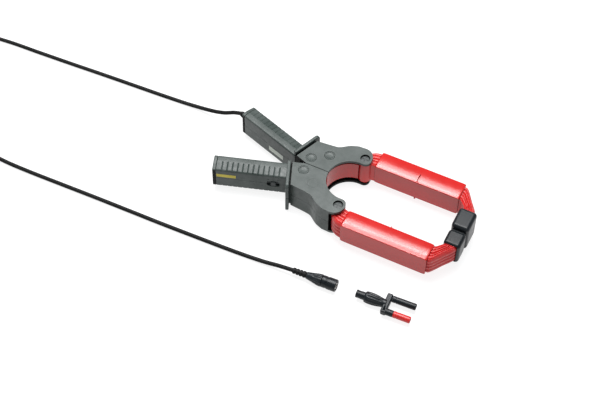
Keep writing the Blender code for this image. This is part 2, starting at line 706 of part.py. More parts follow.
clear_scene()
PARTS = collection("current_probe")
TOOLS = collection("tools", hidden=True)
for half_side in (LEFT, RIGHT):
    half(half_side)
hinge()
selector()
gland()
lead()
plug()
adapter()
on_hinge = ("pivot_pin", "torsion_spring")  # these stay on the link plates
hang("left_pivot_axis", (PIVOT_X, PIVOT_Y, MID_Z), ("left_", "cable_gland", "lead_inner"),
     on_hinge)
hang("right_pivot_axis", (PIVOT_X, -PIVOT_Y, MID_Z), ("right_", "circuit", "selector"), on_hinge)
hang("plug_axis", plug_point(0), ("plug_sleeve",))
hang("adapter_axis", plug_point(ADAPTER_AT), ("adapter_", "black_plug", "red_plug"))
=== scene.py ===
"""Looks for the clamp-on current probe: detailed pieces, materials, lights and the camera.

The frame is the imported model's: +X to the jaw tips, +Y to the left half, +Z up. Shapes are drawn
in millimetres and become metres where a mesh is finished. Outlines are given for the left half,
and side = -1 mirrors them for the right.
"""

import math

import bmesh
import bpy
from mathutils import Matrix, Vector


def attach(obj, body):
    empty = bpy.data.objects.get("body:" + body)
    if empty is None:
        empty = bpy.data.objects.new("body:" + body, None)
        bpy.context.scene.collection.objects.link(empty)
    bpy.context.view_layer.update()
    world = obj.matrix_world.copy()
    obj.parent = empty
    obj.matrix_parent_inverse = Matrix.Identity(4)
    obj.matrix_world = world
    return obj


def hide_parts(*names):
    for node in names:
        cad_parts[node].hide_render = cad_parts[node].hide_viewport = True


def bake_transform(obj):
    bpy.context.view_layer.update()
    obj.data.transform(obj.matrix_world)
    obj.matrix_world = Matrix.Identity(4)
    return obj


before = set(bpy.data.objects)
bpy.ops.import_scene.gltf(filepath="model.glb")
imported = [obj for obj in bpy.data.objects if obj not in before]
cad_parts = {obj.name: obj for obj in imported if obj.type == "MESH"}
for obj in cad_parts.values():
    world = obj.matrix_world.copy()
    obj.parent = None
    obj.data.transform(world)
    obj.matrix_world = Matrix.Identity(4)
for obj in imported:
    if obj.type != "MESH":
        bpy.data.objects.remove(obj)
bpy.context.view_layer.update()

MM = 0.001
LEFT, RIGHT = 1, -1
NAMES = {LEFT: "left", RIGHT: "right"}

# Body
MID_Z = 24.0
SEAM = 0.15  # half the gap between an upper and a lower shell
PIVOT_X, PIVOT_Y, HUB_R = -52.3, 10.3, 9.9
BODY_TOP, PLATE, WALL = 44.5, 3.5, 2.4
THROAT_X, THROAT_R = 5.0, 29.4
SCREW_X, SCREW_Y = -33.8, 23.2
HORN_X, HORN_Y = 6.4, 38.3
THROAT_STEPS, HORN_STEPS, HUB_STEPS = 30, 12, 6

# Handles. A place on one is s along it, v out from its inner face and h above the middle.
SPLAY = math.radians(18.4)
TANGENT = (PIVOT_X - HUB_R * math.sin(SPLAY), PIVOT_Y - HUB_R * math.cos(SPLAY))  # where s is 0
HANDLE_LENGTH, HANDLE_WIDTH, GUARD_S = 104.68, 20.6, 18.0
GUARD_ANGLE, GUARD_REACH, GUARD_T = math.radians(22.0), 40.2, 3.0
RIB_PITCH, RIB_DEPTH, RIB_FIRST, RIB_LAST = 6.3, 0.6, 22.0, 101.5
RIB_STEPS, RIB_SHARPNESS = 18, 14
SELECTOR_S = 35.0
GLAND_S, GLAND_V = HANDLE_LENGTH + 0.3 + 2.6, 10.3  # where the gland's collar starts

# Jaws. The two covers of a jaw meet at its seam.
JAW_Y, JAW_HALF_W, JAW_LOW, JAW_HIGH = 48.6, 12.3, 7.9, 40.1
JAW_START, JAW_SEAM, JAW_END, SEAM_GAP = 20.3, 74.3, 128.75, 0.01
JAW_CROWN, JAW_EDGE = 1.0, 0.9
RIDGES, RIDGE_STEPS, RIDGE_CORNER = 4, 50, 2.4
TIP_X = 147.0
CORE_HALF, CORE_LOW, CORE_HIGH = 4.1, 13.6, 34.4  # the room for a core

# Lead, plug and adapter. Lengths along the plug's axis are from its boot's end.
CORD_R, CORD_Z = 2.5, 2.6
COIL_X, COIL_Y = -520.0, -90.0
PLUG_AT, PLUG_ANGLE = (-12.0, -122.6, 7.9), math.radians(3.0)
PLUG_SHIFT, PLUG_STRETCH = 1.2, 1.04
ADAPTER_AT, ADAPTER_SHIFT, ADAPTER_STRETCH = 79.3, 1.6, 1.055


# Mesh helpers

def finished(work, matrix=None):
    """A mesh in metres from work that is drawn in millimetres."""
    bmesh.ops.transform(work, matrix=Matrix.Scale(MM, 4) @ (matrix or Matrix()), verts=work.verts)
    bmesh.ops.recalc_face_normals(work, faces=work.faces)
    mesh = bpy.data.meshes.new("shape")
    work.to_mesh(mesh)
    work.free()
    return mesh


def holder(data, name="work"):
    """An object in the scene that holds a mesh, curve, light or camera."""
    made = bpy.data.objects.new(name, data)
    bpy.context.scene.collection.objects.link(made)
    return made


def baked(obj):
    """The object's mesh with its modifiers applied. The object goes."""
    graph = bpy.context.evaluated_depsgraph_get()
    mesh = bpy.data.meshes.new_from_object(obj.evaluated_get(graph))
    bpy.data.objects.remove(obj)
    return mesh


def combined(mesh, operation, *others):
    """The mesh after Booleans with the others, in turn."""
    for other in others:
        target, cutter = holder(mesh), holder(other, "cutter")
        change = target.modifiers.new("change", "BOOLEAN")
        change.operation, change.solver, change.object = operation, "EXACT", cutter
        mesh = baked(target)
        bpy.data.objects.remove(cutter)
    return mesh


def cut(mesh, *others):
    return combined(mesh, "DIFFERENCE", *others)


def joined(mesh, *others):
    return combined(mesh, "UNION", *others)


def rounded(mesh, width, segments=3, angle=40):
    target = holder(mesh)
    change = target.modifiers.new("round", "BEVEL")
    change.width, change.segments = width * MM, segments
    change.limit_method, change.angle_limit = "ANGLE", math.radians(angle)
    change.use_clamp_overlap = True
    change.miter_outer = "MITER_ARC"
    return baked(target)


def block(low, high):
    """A box from its lowest to its highest corner."""
    low, high = Vector(low), Vector(high)
    work = bmesh.new()
    bmesh.ops.create_cube(work, size=1)
    size = Matrix.Diagonal((high - low).to_4d())
    return finished(work, Matrix.Translation((low + high) / 2) @ size)


def mirror_box(low, high, side):
    """A box's two corners, mirrored for the right half."""
    if side == LEFT:
        return low, high
    return (low[0], -high[1], low[2]), (high[0], -low[1], high[2])


def rectangle(x0, y0, x1, y1):
    return [(x0, y0), (x1, y0), (x1, y1), (x0, y1)]


def prism(outline, low, high, matrix=None):
    """A flat outline with thickness from low to high."""
    curve = bpy.data.curves.new("outline", "CURVE")
    curve.dimensions, curve.fill_mode = "2D", "BOTH"
    curve.extrude = (high - low) / 2
    spline = curve.splines.new("POLY")
    spline.points.add(len(outline) - 1)
    for point, (x, y) in zip(spline.points, outline):
        point.co = (x, y, 0, 1)
    spline.use_cyclic_u = True
    flat = baked(holder(curve))
    work = bmesh.new()
    work.from_mesh(flat)
    bmesh.ops.remove_doubles(work, verts=work.verts, dist=0.001)
    bmesh.ops.dissolve_limit(work, angle_limit=0.01, verts=work.verts, edges=work.edges)
    bmesh.ops.translate(work, verts=work.verts, vec=(0, 0, (low + high) / 2))
    return finished(work, matrix)


def rod(x, y, low, high, radius, sides=48):
    """An upright cylinder."""
    work = bmesh.new()
    bmesh.ops.create_cone(work, cap_ends=True, segments=sides, radius1=radius, radius2=radius,
                          depth=high - low)
    return finished(work, Matrix.Translation((x, y, (low + high) / 2)))


def turned(profile, matrix=None, sides=64, radius_of=None):
    """A profile of (radius, height) turned about Z. radius_of(r, h, angle) may shape it."""
    work = bmesh.new()
    rings = []
    for radius, height in profile:
        if radius < 1e-6:
            rings.append([work.verts.new((0, 0, height))])
            continue
        ring = []
        for k in range(sides):
            a = math.tau * k / sides
            r = radius_of(radius, height, a) if radius_of else radius
            ring.append(work.verts.new((r * math.cos(a), r * math.sin(a), height)))
        rings.append(ring)
    loops = list(zip(rings, rings[1:]))
    if len(rings[0]) > 1 and len(rings[-1]) > 1:
        loops.append((rings[-1], rings[0]))
    for a, b in loops:
        for k in range(sides):
            n = (k + 1) % sides
            quad = [a[k % len(a)], a[n % len(a)], b[n % len(b)], b[k % len(b)]]
            corners = list(dict.fromkeys(quad))
            if len(corners) > 2:
                work.faces.new(corners)
    return finished(work, matrix)


def loft(sections, matrix=None):
    """A closed solid through sections, which are equally long lists of points."""
    work = bmesh.new()
    rows = [[work.verts.new(point) for point in section] for section in sections]
    count = len(rows[0])
    for a, b in zip(rows, rows[1:]):
        for k in range(count):
            n = (k + 1) % count
            work.faces.new((a[k], a[n], b[n], b[k]))
    work.faces.new(rows[0])
    work.faces.new(rows[-1])
    return finished(work, matrix)


def tube(points, radius, resolution):
    """A round tube with capped ends along points."""
    curve = bpy.data.curves.new("tube", "CURVE")
    curve.dimensions = "3D"
    curve.bevel_depth, curve.bevel_resolution = radius, resolution
    curve.use_fill_caps = True
    spline = curve.splines.new("POLY")
    spline.points.add(len(points) - 1)
    for point, place in zip(spline.points, points):
        point.co = (*place, 1)
    work = bmesh.new()
    work.from_mesh(baked(holder(curve)))
    bmesh.ops.remove_doubles(work, verts=work.verts, dist=0.0005)
    return finished(work)


def arc(centre, radius, start, end, steps):
    turns = [math.radians(start + (end - start) * i / steps) for i in range(steps + 1)]
    return [(centre[0] + radius * math.cos(a), centre[1] + radius * math.sin(a)) for a in turns]


def mirrored(outline, side):
    return [(x, y * side) for x, y in outline]


def inset(outline, distance):
    """The outline moved inwards, with its corners mitred."""
    points = [Vector(point) for point in outline]
    area = sum(a.cross(b) for a, b in zip(points, points[1:] + points[:1]))
    turn = 1 if area > 0 else -1
    found = []
    for i, point in enumerate(points):
        before = (point - points[i - 1]).normalized()
        after = (points[(i + 1) % len(points)] - point).normalized()
        along = (before + after).normalized()
        across = Vector((-along.y, along.x)) * turn
        found.append(tuple(point + across * distance / max(along.dot(after), 0.5)))
    return found


def smooth(points, per_span):
    """Points on a Catmull-Rom curve through the given points."""
    rows = [Vector(point) for point in points]
    rows = [rows[0] * 2 - rows[1]] + rows + [rows[-1] * 2 - rows[-2]]
    found = []
    for a, b, c, d in zip(rows, rows[1:], rows[2:], rows[3:]):
        for step in range(per_span):
            t = step / per_span
            found.append(0.5 * (2 * b + (c - a) * t + (2 * a - 5 * b + 4 * c - d) * t * t
                                + (3 * b - a - 3 * c + d) * t ** 3))
    return found + [rows[-2]]


def curved(points, per_span=5):
    """Points on a smooth flat curve through the given points."""
    return [Vector((p.x, p.y)) for p in smooth([(x, y, 0) for x, y in points], per_span)]


# Materials

def tree_of(name):
    made = bpy.data.materials.new(name)
    made.use_nodes = True
    tree = made.node_tree
    return made, tree, tree.nodes["Principled BSDF"]


def noise_node(tree, scale, detail=3.0, roughness=0.55, stretch=None):
    place = tree.nodes.new("ShaderNodeTexCoord")
    source = place.outputs["Object"]
    if stretch:
        mapping = tree.nodes.new("ShaderNodeMapping")
        mapping.inputs["Scale"].default_value = stretch
        tree.links.new(source, mapping.inputs["Vector"])
        source = mapping.outputs["Vector"]
    found = tree.nodes.new("ShaderNodeTexNoise")
    found.inputs["Scale"].default_value = scale
    found.inputs["Detail"].default_value = detail
    found.inputs["Roughness"].default_value = roughness
    tree.links.new(source, found.inputs["Vector"])
    return found


def ramp(tree, source, low, high, start=0.35, end=0.65):
    found = tree.nodes.new("ShaderNodeValToRGB")
    found.color_ramp.elements[0].position = start
    found.color_ramp.elements[1].position = end
    found.color_ramp.elements[0].color = (*low, 1)
    found.color_ramp.elements[1].color = (*high, 1)
    tree.links.new(source, found.inputs["Fac"])
    return found


def spread(tree, source, low, high):
    found = tree.nodes.new("ShaderNodeMapRange")
    found.inputs["From Min"].default_value = 0.3
    found.inputs["From Max"].default_value = 0.7
    found.inputs["To Min"].default_value = low
    found.inputs["To Max"].default_value = high
    tree.links.new(source, found.inputs["Value"])
    return found


GRAIN = 3000.0


def surface(name, dark, light, rough, depth=0.003, metallic=0.0, coat=0.0, stretch=None,
            patch=28.0, specular=0.5):
    """A moulded or plated surface: soft colour patches, uneven gloss and a fine grain."""
    made, tree, shader = tree_of(name)
    large = noise_node(tree, patch, 4.0)
    colours = ramp(tree, large.outputs["Fac"], dark, light)
    tree.links.new(colours.outputs["Color"], shader.inputs["Base Color"])
    gloss = spread(tree, noise_node(tree, patch * 5, 3.0, 0.6, stretch).outputs["Fac"], *rough)
    tree.links.new(gloss.outputs["Result"], shader.inputs["Roughness"])
    fine = noise_node(tree, GRAIN, 2.0, 0.6, stretch)
    bump = tree.nodes.new("ShaderNodeBump")
    bump.inputs["Strength"].default_value = 1.0
    bump.inputs["Distance"].default_value = depth * MM
    tree.links.new(fine.outputs["Fac"], bump.inputs["Height"])
    tree.links.new(bump.outputs["Normal"], shader.inputs["Normal"])
    shader.inputs["Metallic"].default_value = metallic
    shader.inputs["Coat Weight"].default_value = coat
    shader.inputs["Coat Roughness"].default_value = 0.25
    shader.inputs["Specular IOR Level"].default_value = specular
    return made


def banded(name, dark, light, scale, direction, rough, metallic=0.0, depth=0.05):
    """Fine even bands, for laminations and wound tape."""
    made, tree, shader = tree_of(name)
    place = tree.nodes.new("ShaderNodeTexCoord")
    wave = tree.nodes.new("ShaderNodeTexWave")
    wave.bands_direction = direction
    wave.inputs["Scale"].default_value = scale
    wave.inputs["Distortion"].default_value = 0.4
    tree.links.new(place.outputs["Object"], wave.inputs["Vector"])
    colours = ramp(tree, wave.outputs["Fac"], dark, light, 0.2, 0.8)
    tree.links.new(colours.outputs["Color"], shader.inputs["Base Color"])
    bump = tree.nodes.new("ShaderNodeBump")
    bump.inputs["Distance"].default_value = depth * MM
    tree.links.new(wave.outputs["Fac"], bump.inputs["Height"])
    tree.links.new(bump.outputs["Normal"], shader.inputs["Normal"])
    shader.inputs["Roughness"].default_value = rough
    shader.inputs["Metallic"].default_value = metallic
    return made


GREY = surface("moulded_grey", (0.032, 0.043, 0.039), (0.062, 0.074, 0.070), (0.30, 0.48),
               depth=0.004, patch=34.0, specular=0.31)
DARK_GREY = surface("moulded_dark_grey", (0.035, 0.042, 0.042), (0.050, 0.058, 0.058),
                    (0.42, 0.52), depth=0.004, specular=0.35)
# Near-black painted shade for faces that lie in shadow: a shell's inside, its hinge gap and lower
# throat edge, the nick at a jaw seam and an end cap's sides.
PAINTED_SHADE = surface("painted_shade", (0.004, 0.004, 0.004), (0.006, 0.006, 0.006), (0.6, 0.7),
                depth=0.004, specular=0.15)
BLACK = surface("moulded_black", (0.004, 0.006, 0.007), (0.009, 0.012, 0.015), (0.30, 0.40),
                specular=0.28)
RED = surface("moulded_red", (0.44, 0.009, 0.007), (0.48, 0.012, 0.010), (0.15, 0.21),
              depth=0.001, coat=0.15, specular=0.45)
RIBBED_RED = surface("ribbed_red", (0.46, 0.011, 0.011), (0.54, 0.016, 0.014), (0.28, 0.38),
                     depth=0.001)
RUBBER = surface("black_rubber_skin", (0.003, 0.003, 0.003), (0.006, 0.006, 0.006),
                 (0.55, 0.65), specular=0.2)
STEEL = surface("plain_steel", (0.45, 0.45, 0.46), (0.58, 0.58, 0.59), (0.28, 0.42),
                metallic=1.0, stretch=(1, 1, 12))
NICKEL = surface("nickel_plate", (0.62, 0.61, 0.58), (0.72, 0.71, 0.68), (0.16, 0.26),
                 depth=0.001, metallic=1.0)
LABEL = surface("blank_label", (0.50, 0.53, 0.47), (0.58, 0.61, 0.55), (0.45, 0.55),
                specular=0.3)
OCHRE = surface("ochre_strip", (0.42, 0.34, 0.03), (0.52, 0.43, 0.05), (0.4, 0.5), specular=0.3)
BOARD = surface("solder_mask", (0.012, 0.09, 0.035), (0.02, 0.13, 0.05), (0.3, 0.45), depth=0.005)
CORE = banded("laminated_core", (0.16, 0.16, 0.17), (0.34, 0.34, 0.36), 160, "Z", 0.45,
              metallic=1.0)
TAPE = banded("wound_tape", (0.42, 0.28, 0.05), (0.62, 0.45, 0.10), 60, "X", 0.5, depth=0.15)


# Pieces

def piece(name, mesh, look, body, slot, *nodes, angle=34, shaded=None):
    """A finished piece that rides on a body and stands for CAD nodes.

    shaded(centre, normal), in millimetres, picks the faces that take the near-black painted shade.
    """
    mesh.materials.clear()
    mesh.materials.append(look)
    if shaded:
        mesh.materials.append(PAINTED_SHADE)
    for face in mesh.polygons:
        dark = shaded and shaded(face.center / MM, face.normal)
        face.material_index = 1 if dark else 0
        face.use_smooth = True
    mesh.set_sharp_from_angle(angle=math.radians(angle))
    made = holder(mesh, name)
    mesh.name = name
    weighted = made.modifiers.new("normals", "WEIGHTED_NORMAL")
    weighted.keep_sharp = True
    if body:
        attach(made, body)
    if nodes:
        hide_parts(*nodes)
    return made


def on_handle(s, v):
    """The point s along the handle and v out from its inner face, on the left half."""
    return (TANGENT[0] - s * math.cos(SPLAY) + v * math.sin(SPLAY),
            TANGENT[1] + s * math.sin(SPLAY) + v * math.cos(SPLAY))


def handle_frame(side):
    """Local X is v, local Y is height above the middle, and local Z is s."""
    x, y = TANGENT
    return Matrix(((math.sin(SPLAY), 0, -math.cos(SPLAY), x),
                   (side * math.cos(SPLAY), 0, side * math.sin(SPLAY), side * y),
                   (0, 1, 0, MID_Z), (0, 0, 0, 1)))


def guard_frame(side):
    """Local X runs out along the guard, local Y is height, and local Z is across its plate."""
    x, y = on_handle(GUARD_S, 0)
    return Matrix(((math.sin(GUARD_ANGLE), 0, -math.cos(GUARD_ANGLE), x),
                   (side * math.cos(GUARD_ANGLE), 0, side * math.sin(GUARD_ANGLE), side * y),
                   (0, 1, 0, 0), (0, 0, 0, 1)))


def selector_frame():
    """On the right handle, local X is s, local Y is height above the middle and local Z is v."""
    return handle_frame(RIGHT) @ Matrix(((0, 0, 1, 0), (0, 1, 0, 0), (1, 0, 0, 0), (0, 0, 0, 1)))


def gland_frame():
    return handle_frame(LEFT) @ Matrix.Translation((GLAND_V, 0, 0))


def body_outline():
    """The left half's outline: throat, horn, flank, guard and hub."""
    start = 180 - math.degrees(math.asin(0.4 / THROAT_R))
    around_hub = arc((PIVOT_X, PIVOT_Y), HUB_R, 270 - math.degrees(SPLAY), 270, HUB_STEPS)
    inner_guard = on_handle(GUARD_S, 0)
    shoulder = 36.4
    reach = (shoulder - inner_guard[1]) / math.cos(GUARD_ANGLE)
    outer_guard = (inner_guard[0] + reach * math.sin(GUARD_ANGLE), shoulder)
    flank = curved([(-8, 51.8), (-16.4, 48.6), (-21.5, 45.3), (-26, 41.8), (-31, 39.4),
                    (-43, 37.9)], 4)
    return (arc((THROAT_X, 0), THROAT_R, start, 96, THROAT_STEPS)
            + arc((7.5, 36.3), 7.2, -84, 0, HORN_STEPS)
            + arc((1.5, 39.2), 13.2, 0, 90, 18)[1:]
            + flank + [outer_guard, inner_guard] + around_hub)


def half_of(upper, low, high):
    """A height range given for the upper shell, turned over for the lower one."""
    return (low, high) if upper else (2 * MID_Z - high, 2 * MID_Z - low)


def body_shell(side, upper):
    """The body's plate and side wall, open at the throat and beside the horn."""
    outline = body_outline()
    low, high = half_of(upper, MID_Z - 2, BODY_TOP - PLATE)
    throat = (arc((THROAT_X, 0), THROAT_R - 3, 190, 95, 24)
              + arc((THROAT_X, 0), THROAT_R + 4, 95, 190, 24))
    room = [prism(mirrored(inset(outline, WALL), side), low, high),
            prism(mirrored(throat, side), low, high),
            block(*mirror_box((0.8, 26, low), (22, 60, high), side)),
            block(*mirror_box((-63.5, -1, low), (-24, 8, high), side))]
    screw, pivot, horn = ((SCREW_X, SCREW_Y * side), (PIVOT_X, PIVOT_Y * side),
                          (HORN_X, HORN_Y * side))
    if upper:
        above, recess, below = BODY_TOP + 1.5, BODY_TOP - 1.3, BODY_TOP - 6.5
        holes = [rod(*screw, recess, above, 6.5), rod(*pivot, recess, above, 6.5),
                 rod(*pivot, below, recess + 0.1, 2.8), rod(*horn, below, above, 6.0)]
    else:
        holes = [rod(*screw, 2, 8, 3.6), rod(*pivot, 5, 8, 2.8), rod(*horn, 2, 8, 2.4)]
    low, high = half_of(upper, BODY_TOP - 2.6, BODY_TOP + 1)
    beside_guard = prism(rectangle(-1, low, 60, high), -3.6, -1.7, guard_frame(side))
    mesh = prism(mirrored(outline, side), *half_of(upper, MID_Z + SEAM, BODY_TOP))
    return rounded(cut(mesh, *room, *holes, beside_guard), 0.7, 3)


def edge_distance(outline, x, y):
    """How far a point is from the outline, and how far along the outline it is nearest."""
    best = (1e9, 0)
    for i, (a, b) in enumerate(zip(outline, outline[1:] + outline[:1])):
        a, b, point = Vector(a), Vector(b), Vector((x, y))
        along = b - a
        share = max(0.0, min(1.0, (point - a).dot(along) / max(along.length_squared, 1e-9)))
        best = min(best, ((a + along * share - point).length, i))
    return best


def painted_shade_of_body(side, upper):
    """The rule for a shell's faces that take painted shade: its inside, the lower throat edge and the
    hinge gap, where shadow falls.
    """
    outline = body_outline()
    throat_and_horn = THROAT_STEPS + HORN_STEPS
    hub = len(outline) - HUB_STEPS - 2
    plate_top = BODY_TOP - MID_Z
    edge = 0.75  # just past the rounding of the edges

    def rule(centre, normal):
        level = centre.z - MID_Z if upper else MID_Z - centre.z
        if level > plate_top - edge:
            return False
        distance, nearest = edge_distance(outline, centre.x, centre.y * side)
        if distance > edge:
            return True
        if nearest < throat_and_horn:
            return not upper or level < plate_top - PLATE - 0.3
        return nearest >= hub
    return rule


def guard_half(side, upper):
    """Half of the finger guard, a plate with one rounded corner."""
    corner = 5.0 if upper else 2.4
    far = arc((GUARD_REACH - corner, 2 * MID_Z - corner), corner, 0, 90, 8)
    corners = [(0.6, MID_Z + SEAM), (GUARD_REACH, MID_Z + SEAM)] + far + [(0.6, 2 * MID_Z)]
    if not upper:
        corners = [(t, 2 * MID_Z - z) for t, z in corners]
    plate = prism(corners, -GUARD_T / 2 - 0.2, GUARD_T / 2 + 0.8, guard_frame(side))
    return rounded(plate, 0.9, 3)


def groove(s):
    """How deep the grooves between the grip's ribs are at s, from 0 to 1."""
    if s < RIB_FIRST or s > RIB_LAST:
        return 0.0
    phase = (s - RIB_FIRST) / RIB_PITCH
    fade = min(1.0, (s - RIB_FIRST) / 1.5, (RIB_LAST - s) / 1.5)
    return fade * (0.5 + 0.5 * math.cos(math.tau * phase)) ** RIB_SHARPNESS


def deeper(v, h):
    """The grip's underside runs flatter than its top."""
    return h + 0.075 * max(v, 0.0) * min(1.0, h / 12.0)


def handle_half(side, upper):
    """A handle's shell half, with the ribbed grip on its sloped outer face."""
    inner = [(0, SEAM), (0, 6), (0, 12), (0, 15.2), (0.12, 16.0), (0.45, 16.7), (1.1, 17.18),
             (2.0, 17.35), (4.5, 17.35), (7.0, 17.35), (8.2, 17.3)]
    slope = [(8.9 + 1.03 * i, 17.16 - 0.251 * i) for i in range(11)]
    outer = [(19.85, 14.25), (20.3, 13.6), (20.52, 12.9), (HANDLE_WIDTH, 12.0),
             (HANDLE_WIDTH, 10.8), (HANDLE_WIDTH, 6), (HANDLE_WIDTH, SEAM)]
    weights = [0.0] * len(inner) + [1.0] * len(slope) + [1.0, 0.9, 0.6, 0.25] + [0.0] * 3
    across = Vector((0.36, 0.93))
    stations = [GUARD_S - 6, 16, 20]
    step = RIB_PITCH / RIB_STEPS
    stations += [RIB_FIRST + step * i for i in range(int((RIB_LAST - RIB_FIRST) / step) + 1)]
    stations += [RIB_LAST + 0.4, HANDLE_LENGTH - 0.5, HANDLE_LENGTH]
    sections = []
    for s in stations:
        depth = RIB_DEPTH * groove(s)
        ease = 0.35 if s in (stations[0], stations[-1]) else 0.0
        row = []
        for (v, h), weight in zip(inner + slope + outer, weights):
            v, h = v - across.x * depth * weight, h - across.y * depth * weight
            v, h = v + ease * (0.5 - v / HANDLE_WIDTH) * 1.2, h - ease * (1 if h > 1 else 0)
            row.append((v, h if upper else -deeper(v, h), s))
        sections.append(row)
    mesh = loft(sections, handle_frame(side))
    bore = [(2.2, SEAM - 1), (2.2, 14.9), (8.3, 14.9), (18.4, 12.2), (18.4, SEAM - 1)]
    if not upper:
        bore = [(v, -h) for v, h in bore]
    mesh = cut(mesh, prism(bore, GUARD_S - 8, HANDLE_LENGTH + 5, handle_frame(side)))
    if side == RIGHT:
        mesh = cut(mesh, oval_tool(8.3, 5.0, 19.8, 24.0), slot_tool(7.3, 3.9, 15.0, 24.0),
                   *dash_tools())
    return mesh


def oval_tool(half_s, half_h, low, high):
    """A stadium-shaped tool square to the right handle's outer face."""
    centre = half_s - half_h
    ring = (arc((SELECTOR_S + centre, 0), half_h, -90, 90, 12)
            + arc((SELECTOR_S - centre, 0), half_h, 90, 270, 12))
    return prism(ring, low, high, selector_frame())


def slot_tool(half_s, half_h, low, high):
    outline = rectangle(SELECTOR_S - half_s, -half_h, SELECTOR_S + half_s, half_h)
    return prism(outline, low, high, selector_frame())


def dash_tools():
    """Three short marks above the selector, one for each position."""
    return [prism(rectangle(s - 1.3, 7.2, s + 1.3, 8.0), 20.2, 24.0, selector_frame())
            for s in (SELECTOR_S - 6.0, SELECTOR_S, SELECTOR_S + 6.0)]


def disc(x, y, ring):
    """A round plug, flush with the plate, with a ring groove or plain."""
    top = BODY_TOP
    if ring:
        profile = [(0, top - 0.35), (2.6, top - 0.30), (4.3, top - 0.12), (4.55, top - 0.45),
                   (4.9, top - 0.45), (5.15, top - 0.05), (5.9, top - 0.02), (6.2, top - 0.3),
                   (6.2, top - 1.0), (0, top - 1.0)]
    else:
        profile = [(0, top), (6.38, top), (6.45, top - 0.1), (6.45, top - 1.0), (0, top - 1.0)]
    return turned(profile, Matrix.Translation((x, y, 0)))


def horn_screw(side):
    """A cross-head screw that goes down through the horn."""
    profile = [(0, 42.4), (3.6, 42.5), (5.0, 42.35), (5.6, 42.0), (5.85, 41.5), (5.85, 40.1),
               (2.0, 40.1), (2.0, 4.2), (0, 4.2)]
    x, y = HORN_X, HORN_Y * side
    mesh = turned(profile, Matrix.Translation((x, y, 0)), 48)
    long, short = 4.2, 0.55
    return cut(mesh, *(prism(rectangle(x - a, y - b, x + a, y + b), 42.0, 44.0)
                       for a, b in ((long, short), (short, long))))


def throat_liner(side):
    start = 180 - math.degrees(math.asin(0.4 / (THROAT_R + 1.6)))
    steps = 36
    outline = (arc((THROAT_X, 0), THROAT_R + 1.5, start, 96.4, steps)
               + arc((THROAT_X, 0), THROAT_R + 3.5, 97.2, start, steps))
    return rounded(prism(mirrored(outline, side), 10.6, 37.4), 0.5, 2)


def core_tool(side):
    """Room for the core, from the horn to the tip."""
    path = [Vector(p) for p in ((0.5, 37.8), (6.4, 38.8), (19.0, JAW_Y), (133.0, JAW_Y),
                                (TIP_X, 28.0), (TIP_X, 0.35))]
    left, right = [], []
    for i, point in enumerate(path):
        before = (point - path[max(i - 1, 0)]).normalized()
        after = (path[min(i + 1, len(path) - 1)] - point).normalized()
        along = (before + after).normalized()
        share = max(along.dot(after), along.dot(before))
        across = Vector((-along.y, along.x)) * CORE_HALF / share
        left.append(tuple(point + across))
        right.append(tuple(point - across))
    return prism(mirrored(left + right[::-1], side), CORE_LOW, CORE_HIGH)


def along_path(path, count):
    """Evenly spaced points along a polyline."""
    path = [Vector(point) for point in path]
    lengths = [(b - a).length for a, b in zip(path, path[1:])]
    total, found = sum(lengths), []
    for i in range(count):
        left = total * i / (count - 1)
        for a, b, length in zip(path, path[1:], lengths):
            if left <= length or b is path[-1]:
                found.append(a.lerp(b, min(1.0, left / length)))
                break
            left -= length
    return found


def ridged_ring(inner, outer, low, high, side, depth):
    """A cross-section from an inner to an outer point, ridged above, below and outside."""
    width, height = (outer - inner).length, high - low
    across = (outer - inner).normalized()
    corner = RIDGE_CORNER
    flat_w, flat_h = width - 2 * corner, height - 2 * corner
    shares = [k / RIDGE_STEPS for k in range(RIDGE_STEPS)]

    def round_over(level, first):
        turns = [math.radians(first - 22.5 * k) for k in range(4)]
        return [(width - corner + corner * math.cos(a), level + corner * math.sin(a),
                 math.cos(a), math.sin(a), 0) for a in turns]

    # Each place is its reach and level, which way it swells, and its share of a ridged face.
    places = ([(corner + flat_w * share, height, 0, 1, share) for share in shares]
              + round_over(height - corner, 90)
              + [(width, height - corner - flat_h * share, 1, 0, share) for share in shares]
              + round_over(corner, 0)
              + [(width - corner - flat_w * share, 0, 0, -1, share) for share in shares]
              + [(corner, 0, 0, 0, 0), (0.5, 0.5, 0, 0, 0), (0, corner, 0, 0, 0),
                 (0, height - corner, 0, 0, 0), (0.5, height - 0.5, 0, 0, 0)])
    ring = []
    for reach, level, out, up, share in places:
        swell = depth * (abs(math.sin(math.pi * RIDGES * share)) - 1)
        point = inner + across * (reach + swell * out)
        ring.append((point.x, point.y * side, low + level + swell * up))
    return ring


def ridged_bend(inner, outer, side, low, high, depth, count=22):
    """A ridged solid between an inner and an outer path."""
    pairs = zip(along_path(inner, count), along_path(outer, count))
    return loft([ridged_ring(a, b, low, high, side, depth) for a, b in pairs])


def neck(side):
    inner = curved([(6.5, 38.5), (10.5, 36.8), (15.0, 36.3), (19.95, 37.2)])
    outer = curved([(2.4, 47.0), (6.0, 53.4), (12.5, 58.3), (19.95, 60.1)])
    mesh = ridged_bend(inner, outer, side, 8.8, 39.2, 1.3)
    hub = rounded(rod(7.2, HORN_Y * side, 8.2, 39.8, 8.2, 56), 0.5, 2)
    mesh = joined(mesh, hub)
    return cut(mesh, core_tool(side), rod(HORN_X, HORN_Y * side, 0, 50, 2.4, 24))


def elbow(side):
    inner = [(129.0, 37.4), (130.8, 37.0), (138.4, 28.6), (138.6, 16.8)]
    outer = curved([(129.0, 59.6), (133.4, 57.8), (143.5, 43.6), (152.9, 29.6), (153.3, 16.8)], 6)
    mesh = ridged_bend(inner, outer, side, 9.4, 38.6, 1.4)
    return cut(mesh, core_tool(side))


